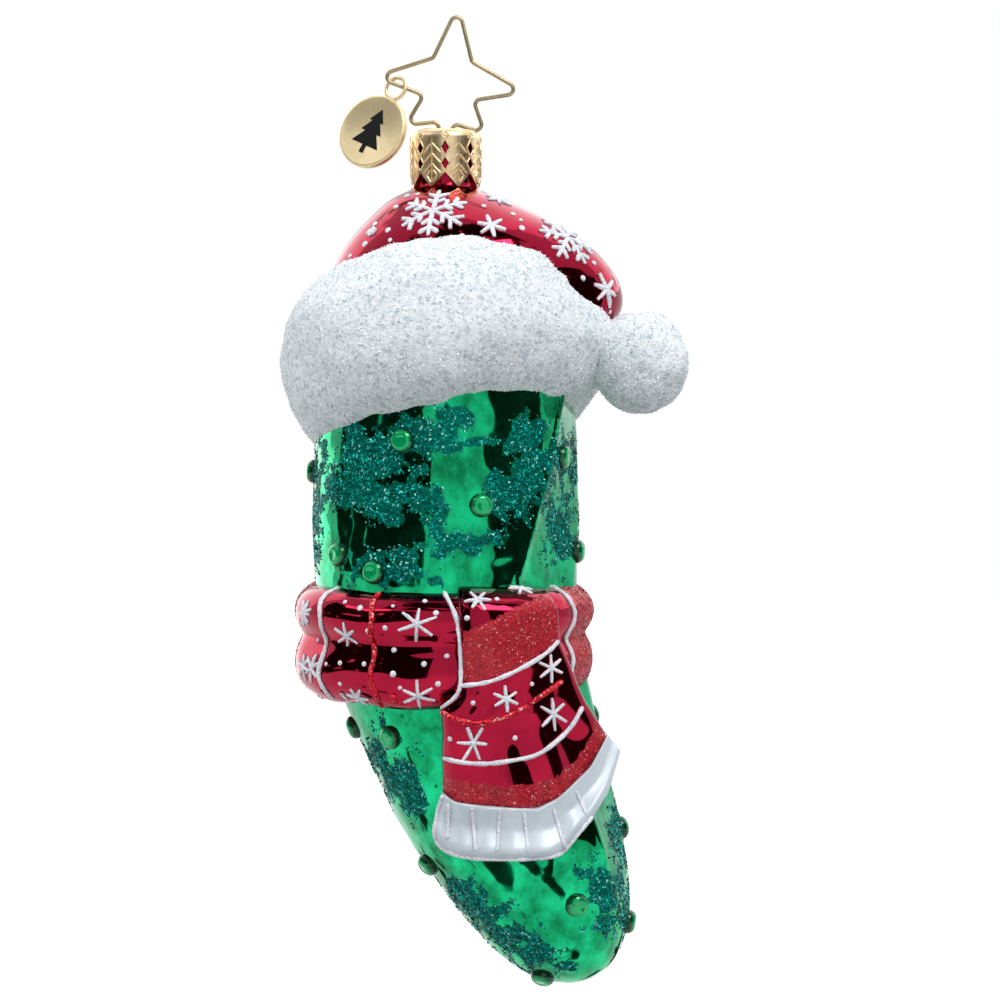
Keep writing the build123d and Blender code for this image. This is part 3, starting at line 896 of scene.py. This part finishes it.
def drawn(pixels, skin, lift=0.1):
    """A painted path on a skin through pixels of the front view."""
    met = [seen(across, down, skin) for across, down in eased(pixels)]
    return [spot + direction * lift for spot, direction in met if spot]


def upright(turn, skin, lift=0.1):
    """A painted path down over the turns at a bearing."""
    met = [around(turn + 0.8 * math.sin(depth), depth, skin, -0.3) for depth in range(65, 86)]
    return [spot + direction * lift for spot, direction in met if spot]


glitter_line_width = 0.85
line_turns = (-27.5, 160)
line_pixels = ((442, 712), (457, 720), (475, 724), (498, 720), (521, 710), (544, 694), (562, 681))
glitter_line = bmesh.new()
glitter_paths = [upright(turn, wrap_skin) for turn in line_turns]
glitter_paths.append(drawn(line_pixels, scarf_skin))
paint_lines(glitter_line, glitter_paths, glitter_line_width)
finish_piece(glitter_line, "scarf_glitter_line", red_foil, "red_mirrored_glass")

# Scarf paint: white lines that edge the bands, stars and dots between them, and ribs and an
# outline on the fringe, all in the hat's white glitter paint.
edge_lines = (
    ((443, 591), (450, 603), (458, 621), (461, 646), (462, 678), (459, 696), (441, 709)),
    ((462, 686), (487, 683), (510, 674), (533, 662), (549, 651), (558, 641)),
    ((444, 758), (464, 763), (487, 764), (510, 761), (537, 756), (556, 742), (572, 726), (582, 707)),
    ((443, 796), (438, 813), (434, 834), (441, 848), (459, 856), (487, 859), (528, 859), (556, 856),
     (566, 848), (577, 834), (592, 816)),
)
rib_lines = (
    ((448, 804), (448, 838)), ((472, 808), (476, 850)), ((500, 811), (497, 851)), ((524, 813), (528, 851)),
    ((553, 809), (565, 848)), ((576, 792), (586, 814)),
)
scarf_stars = (
    (347, 636, 2.6), (417, 624, 3.3), (418, 696, 3.0), (304, 614, 2.2), (312, 668, 2.4), (358, 697, 2.2),
    (478, 600, 2.3), (521, 589, 2.2), (506, 699, 2.4), (551, 668, 2.4), (473, 743, 3.0), (553, 714, 3.0),
)
scarf_dots = (
    (345, 602), (360, 608), (393, 606), (425, 601), (368, 631), (385, 628), (394, 650), (340, 663),
    (364, 664), (393, 674), (424, 664), (447, 656), (467, 618), (340, 684), (473, 703), (532, 684),
    (515, 738), (450, 739), (497, 599), (436, 613), (400, 688), (438, 684), (318, 640), (326, 664),
)
back_lines = (-54, 60, 114, 134, 192, 214, 236)
back_stars = (
    (122, 70, 2.6), (124, 79, 2.6), (143, 75, 3.1), (176, 70, 2.6), (186, 79, 2.8), (204, 71, 2.4),
    (222, 76, 3.0), (228, 68, 2.2), (-66, 70, 2.4), (-68, 79, 2.4),
)
thin_stroke_width = 0.62
scarf_dot_width = 0.9
scarf_paint = bmesh.new()
paths = [drawn(line, scarf_skin) for line in edge_lines]
paths += [upright(turn, wrap_skin) for turn in back_lines]
paint_lines(scarf_paint, paths, stroke_width)
paths = [drawn(line, scarf_skin) for line in rib_lines]
for across, down, size in scarf_stars:
    paths += motif(seen(across, down, scarf_skin), star(), size, random.uniform(0, 60), scarf_skin)
for turn, depth, size in back_stars:
    paths += motif(around(turn, depth, wrap_skin), star(), size, random.uniform(0, 60), wrap_skin)
paint_lines(scarf_paint, paths, thin_stroke_width)
places = [seen(across, down, scarf_skin) for across, down in scarf_dots]
places += [around(random.uniform(112, 238), random.uniform(66, 84), wrap_skin) for _ in range(40)]
paint_dots(scarf_paint, places, scarf_dot_width)
finish_piece(scarf_paint, "scarf_lines_and_stars", white_paint, "white_crushed_glass")

# Wart gems: pressed glass cabochons with a flat top, foiled at the back and glued on one by one for
# the pickle's warts.
gem_radius = 2.0
gem_profile = (
    (1.95, -0.4), (2.0, 0.1), (1.93, 0.45), (1.7, 0.85), (1.35, 1.14), (0.98, 1.28), (0.9, 1.24), (0.0, 1.26),
)

# Green pressed glass: a bright green floor where the foil shows through the flat top, and a painted
# shade towards the edge that goes nearly black, all under a hard gloss.
gem_glass, tree, shader, place = new_material("green pressed glass")
edge = add(tree, "ShaderNodeAttribute", attribute_name="edge").outputs["Fac"]
# The darkening towards the rim, by share of the radius, is painted shade.
thickness = add(tree, "ShaderNodeMapRange", {"Value": edge, "From Min": 0.66, "From Max": 0.96})
tone = add(tree, "ShaderNodeMix", {
    "Factor": thickness.outputs["Result"], 6: linear("#02b468"), 7: linear("#023c26"),
}, data_type="RGBA")
fill(tree, shader, {
    "Base Color": tone.outputs[2], "Roughness": 0.06, "Metallic": 0.4, "Specular IOR Level": 0.1,
    "Coat Weight": 0.7, "Coat Roughness": 0.02,
})
for name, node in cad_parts.items():
    if not name.startswith("wart_gem"):
        continue
    corners = [vert.co * 1000 for vert in node.data.vertices]
    spot, direction, _, _ = pickle_skin.find_nearest(sum(corners, Vector()) / len(corners))
    gem = lathed_form(gem_profile, 32)
    edge_share = gem.verts.layers.float.new("edge")
    for vert in gem.verts:
        vert[edge_share] = vert.co.xy.length / gem_radius
    bmesh.ops.transform(gem, matrix=ring_matrix(spot, direction), verts=gem.verts)
    finish_piece(gem, f"{name}_cabochon", gem_glass, "green_gem_glass", name)

# Cap: drawn and stamped from thin brass sheet with a gold finish. Veins and slit rims are
# embossed on its eight leaves, with a small ring over each slit and two saddles under the wire.
cap_top = -18.51
cap_radius = 5.85
cap_rounding = 1.5
leaf_count = 8
vein_width = 0.36
rim_width = 0.28
embossing_wobble = 0.08
saddle_reach = 3.1


def cap_path(points, lift=0.02):
    """A path on the cap's skirt through bearings and heights below its top."""
    ends = [Vector(point) for point in points]
    steps = [a.lerp(b, step / 4) for a, b in zip(ends, ends[1:]) for step in range(5)]
    path = []
    for turn, below in steps:
        outward = Vector((math.sin(math.radians(turn)), -math.cos(math.radians(turn)), 0))
        inset = max(cap_rounding - below, 0.0)
        reach = cap_radius - cap_rounding + math.sqrt(cap_rounding ** 2 - inset ** 2)
        path.append(Vector((neck_x, 0, cap_top - below)) + outward * (reach + lift))
    return path


cap_relief = bmesh.new()
veins = []
rims = []
for leaf in range(leaf_count):
    slit = 360 / leaf_count * leaf
    middle = slit + 180 / leaf_count
    veins.append(cap_path(((middle, 1.9), (middle, 9.2))))
    for below in (2.6, 4.3, 6.0):
        for side in (-1, 1):
            veins.append(cap_path(((middle + side, below), (middle + side * 15, below + 1.5))))
    for side in (-1, 1):
        veins.append(cap_path(((middle + side * 2, 9.0), (middle + side * 9, 7.9), (middle + side * 3, 7.0))))
        wide = slit + side * 7.4
        rims.append(cap_path(((slit, 1.9), (wide, 3.3), (slit, 4.65), (wide, 5.9), (slit, 7.1))))
    turns = [step * math.pi / 4 for step in range(9)]
    rims.append(cap_path([(slit + 5.5 * math.sin(turn), 1.2 + 0.55 * math.cos(turn)) for turn in turns]))
paint_lines(cap_relief, veins, vein_width, embossing_wobble)
paint_lines(cap_relief, rims, rim_width, embossing_wobble)
for side, height in ((-1, 0.47), (1, 0.13)):
    saddle = Matrix.Translation((neck_x + side * saddle_reach, 0, cap_top))
    saddle = saddle @ Matrix.Diagonal((1.0, 1.5, height, 1))
    bmesh.ops.create_icosphere(cap_relief, subdivisions=3, radius=1.0, matrix=saddle)

# Gold finish on brass sheet: warm and bright, with patches of about 1 mm that the stamping dulled.
cap_gold, tree, shader, place = new_material("gold finished brass sheet")
tint, patch = clouded(tree, place, 1.11, "#f2c480", "#fff2d2", 3.0)
dull = add(tree, "ShaderNodeMapRange", {"Value": patch, "To Min": 0.2, "To Max": 0.45})
fill(tree, shader, {"Base Color": tint, "Roughness": dull.outputs["Result"], "Metallic": 1.0})
cap_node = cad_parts["cap_crown"]
cap_node.data.materials.clear()
cap_node.data.materials.append(cap_gold)
finish_piece(cap_relief, "cap_embossing", cap_gold, "stamped_gold_cap", body="cap")

# Hanger: one length of springy brass wire, bent by machine to a star on two legs that spring
# apart in the neck, and gone dull.
half_wire = ((2.0, -9.0), (1.4, -3.0), (1.4, 0.0), (5.8, 0.0), (4.7, 4.4), (11.2, 7.0), (3.5, 11.2))
half_bends = (0.0, 2.5, 0.7, 0.7, 0.7, 0.7, 0.7)
top_corner = (0.0, 19.4)
top_bend = 0.9
wire_width = 0.7
hanger_foot = Vector((neck_x, 0.0, -17.56))
hanger_lean = math.radians(6)


def bent_path(points, bends):
    """A path through points, with a round bend of a set radius at each."""
    path = [points[0]]
    for before, corner, after, bend in zip(points, points[1:], points[2:], bends[1:]):
        back = (before - corner).normalized()
        ahead = (after - corner).normalized()
        half = back.angle(ahead) / 2
        middle = corner + (back + ahead).normalized() * bend / math.sin(half)
        first = corner + back * bend / math.tan(half) - middle
        last = corner + ahead * bend / math.tan(half) - middle
        path += [middle + first.slerp(last, step / 8) for step in range(9)]
    return path + [points[-1]]


wire_points = [Vector(point) for point in half_wire] + [Vector(top_corner)]
wire_points += [Vector((-x, y)) for x, y in half_wire[::-1]]
wire_bends = half_bends + (top_bend,) + half_bends[::-1]
along = Vector((math.cos(hanger_lean), 0, -math.sin(hanger_lean)))
upward = Vector((math.sin(hanger_lean), 0, math.cos(hanger_lean)))
wire_path = [hanger_foot + along * x + upward * y for x, y in bent_path(wire_points, wire_bends)]
wire = bmesh.new()
paint_lines(wire, [wire_path], wire_width, 0.0, 4)

# Aged brass wire: a brownish metal with a dull shine, browner in patches of about 3 mm.
wire_brass, tree, shader, place = new_material("aged brass wire")
tint, _ = clouded(tree, place, 3.33, "#8d7f62", "#cdbd94", 3.0)
fill(tree, shader, {"Base Color": tint, "Metallic": 1.0, "Roughness": 0.38})
finish_piece(wire, "wire_star", wire_brass, "aged_brass_wire", "hanger_wire", body="hanger")

# Tag: a disc die-cast with its eye, gold plated, with a raised rim. A plain fir tree is sunk in
# its face and filled with black enamel.
tag_middle = Vector((-13.987, 0.0, -18.649))
tag_right = Vector((0.7419, -0.5446, -0.3912))
tag_up = Vector((0.4664, 0.0, 0.8846))
tag_front = tag_right.cross(tag_up).normalized()
tag_matrix = Matrix.Translation(tag_middle) @ Matrix((tag_right, tag_up, tag_front)).transposed().to_4x4()
tag_profile = (
    (0.0, -0.65), (5.9, -0.65), (6.25, -0.52), (6.35, -0.25), (6.35, 0.25), (6.25, 0.52), (6.0, 0.65),
    (5.78, 0.6), (5.62, 0.45), (0.0, 0.47),
)
eye_rise = 8.15
eye_radius = 1.88
eye_wire_radius = 0.32
tag = lathed_form(tag_profile, 64)
eye = bmesh.ops.create_circle(tag, segments=16, radius=eye_wire_radius)["verts"]
eye_matrix = Matrix.Translation((eye_radius, eye_rise, 0)) @ Matrix.Rotation(math.pi / 2, 4, "X")
bmesh.ops.transform(tag, matrix=eye_matrix, verts=eye)
eye_edges = [edge for edge in tag.edges if edge.verts[0] in eye]
lathe(tag, 40, eye + eye_edges, (0, eye_rise, 0))
bmesh.ops.transform(tag, matrix=tag_matrix, verts=tag.verts)

# Satin gold plate: pale gold with a soft shine. Its satin grain is too fine to show, so it is drawn
# in specks of 0.7 mm.
tag_gold, tree, shader, place = new_material("satin gold plate")
tint, _ = clouded(tree, place, 0.714, "#f2d49c", "#fff0c8", 4.0)
fill(tree, shader, {"Base Color": tint, "Metallic": 0.8, "Roughness": 0.42})
finish_piece(tag, "tag_disc", tag_gold, "satin_gold_tag", "hang_tag", body="tag")

fir_side = (
    (0.45, -4.0), (0.45, -2.6), (2.9, -2.6), (1.3, -0.3), (2.2, -0.3), (0.9, 1.7), (1.55, 1.7), (0.0, 4.0),
)
enamel_face = 0.5
enamel_depth = 0.3
fir = bmesh.new()
corners = [fir.verts.new((x, y, enamel_face)) for x, y in fir_side]
corners += [fir.verts.new((-x, y, enamel_face)) for x, y in fir_side[-2::-1]]
fir.faces.new(corners)
sunk_verts = verts_of(bmesh.ops.extrude_face_region(fir, geom=fir.faces[:])["geom"])
bmesh.ops.translate(fir, vec=(0, 0, -enamel_depth), verts=sunk_verts)
bmesh.ops.transform(fir, matrix=tag_matrix, verts=fir.verts)

# Black enamel: a dull black fill. Its specks are drawn 0.4 mm wide, because real ones wouldn't show.
enamel, tree, shader, place = new_material("black enamel")
shade, _ = clouded(tree, place, 0.4, "#060607", "#1a1a1c", 2.0)
fill(tree, shader, {"Base Color": shade, "Roughness": 0.5, "Specular IOR Level": 0.2})
finish_piece(fir, "tag_enamel", enamel, "satin_gold_tag", body="tag").data.shade_flat()

# Studio: a white sweep far below and behind the hanging ornament, soft white light from above
# and the front right, and dark cloths and white screens round it, with gaps, that the mirrored glass
# picks up. Lengths in the studio are in metres.
floor_reach = 3.0
floor_level = -0.19
floor = bmesh.new()
bmesh.ops.create_grid(floor, x_segments=1, y_segments=1, size=floor_reach)
bmesh.ops.translate(floor, vec=(0, 0, floor_level), verts=floor.verts)

# White paper: matt, so well lit that it goes pure white in the view and pale in the mirrored glass.
paper, tree, shader, place = new_material("white paper")
path = add(tree, "ShaderNodeLightPath")
glow = add(tree, "ShaderNodeMath", {0: path.outputs["Is Glossy Ray"], 1: 0.5}, operation="MULTIPLY")
lift = add(tree, "ShaderNodeMath", {
    0: path.outputs["Is Camera Ray"], 1: 0.9, 2: glow.outputs[0],
}, operation="MULTIPLY_ADD")
fill(tree, shader, {
    "Base Color": linear("#a8a8a8"), "Roughness": 0.9, "Emission Color": (1, 1, 1, 1),
    "Emission Strength": lift.outputs[0],
})
floor_piece = placed(floor, "floor", paper)

# Each one's bearings, low and high angles, distance, where its holes begin, colour and glow.
studio_panels = (
    ("left_curtain", -108, -15, -54, 40, 0.65, 0.64, "#0d0d0d", 0.0),
    ("right_curtain", 36, 92, -54, 30, 0.65, 0.74, "#222222", 0.0),
    ("right_screen", 102, 160, -50, 12, 0.65, 0.64, "#c0c0c0", 0.3),
    ("high_screen", 100, 175, 13, 65, 0.65, 0.6, "#ffffff", 1.0),
    ("left_screen", -165, -118, -50, 50, 0.65, 0.64, "#ffffff", 1.0),
    ("front_flag", -75, 75, 48, 85, 1.1, 0.54, "#141414", 0.0),
    ("low_cards", -180, 180, -78, -42, 0.105, 0.38, "#2a2a2a", 0.0),
)
panel_middle = -0.08
gap_share = 4.5
gap_softness = 0.02
for name, first, last, low, high, reach, gap, shade, glow in studio_panels:
    panel = bmesh.new()
    bmesh.ops.create_grid(panel, x_segments=48, y_segments=24, size=0.5)
    for vert in panel.verts:
        turn = math.radians(first + (vert.co.x + 0.5) * (last - first))
        rise = math.radians(low + (vert.co.y + 0.5) * (high - low))
        level = math.cos(rise) * reach
        away = math.sin(rise) * reach + panel_middle
        vert.co = Vector((math.sin(turn) * level, -math.cos(turn) * level, away))

    # Matt cloth, dark or white, with holes as wide as a share of its distance that break up its
    # reflection into streaks.
    cloth, tree, shader, place = new_material(f"{name} cloth")
    hole = add(tree, "ShaderNodeTexNoise", {"Vector": place, "Scale": gap_share / reach, "Detail": 2.0})
    cover = add(tree, "ShaderNodeMapRange", {
        "Value": hole.outputs["Fac"], "From Min": gap - gap_softness, "From Max": gap + gap_softness,
        "To Min": 1.0, "To Max": 0.0,
    })
    fill(tree, shader, {
        "Base Color": linear(shade), "Roughness": 1.0, "Emission Color": (1, 1, 1, 1),
        "Emission Strength": glow, "Alpha": cover.outputs["Result"],
    })
    panel_piece = placed(panel, name, cloth)
    panel_piece.visible_camera = False
    panel_piece.visible_diffuse = False
    panel_piece.visible_shadow = False

world = bpy.data.worlds.new("studio")
scene.world = world
world.use_nodes = True
tree = world.node_tree
path = add(tree, "ShaderNodeLightPath")
room = add(tree, "ShaderNodeMix", {
    "Factor": path.outputs["Is Glossy Ray"], 6: (0.6, 0.64, 0.67, 1), 7: (0.75, 0.77, 0.78, 1),
}, data_type="RGBA")
sky = add(tree, "ShaderNodeMix", {
    "Factor": path.outputs["Is Camera Ray"], 6: room.outputs[2], 7: (1, 1, 1, 1),
}, data_type="RGBA")
tree.links.new(sky.outputs[2], tree.nodes["Background"].inputs["Color"])

# Each lamp's place, aim, size and power in watts.
lamps = (
    ("ceiling", (0.0, 0.45, 0.8), (0.0, 0.0, 0.0), 0.9, 2.2),
    ("key", (0.28, -0.42, 0.55), (0.0, 0.0, -0.08), 0.4, 3.4),
    ("side", (-0.6, -0.2, 0.3), (0.0, 0.0, -0.08), 0.4, 1.2),
)
for name, place, aim, size, power in lamps:
    lamp = bpy.data.lights.new(name, "AREA")
    lamp.size = size
    lamp.energy = power
    holder = bpy.data.objects.new(name, lamp)
    holder.location = place
    holder.rotation_euler = (Vector(aim) - Vector(place)).to_track_quat("-Z", "Y").to_euler()
    scene.collection.objects.link(holder)

# The front view: a long lens, level with the middle of the ornament.
lens = bpy.data.cameras.new("photo view")
lens.lens = 120.0
lens.sensor_width = 36.0
lens.clip_start = 0.01
camera = bpy.data.objects.new("photo view", lens)
camera.location = viewpoint / 1000
camera.rotation_euler = (math.pi / 2, 0, 0)
scene.collection.objects.link(camera)
scene.camera = camera
scene.view_settings.view_transform = "Standard"

for helper in (flake_shape, chip_shape):
    bpy.data.objects.remove(helper)
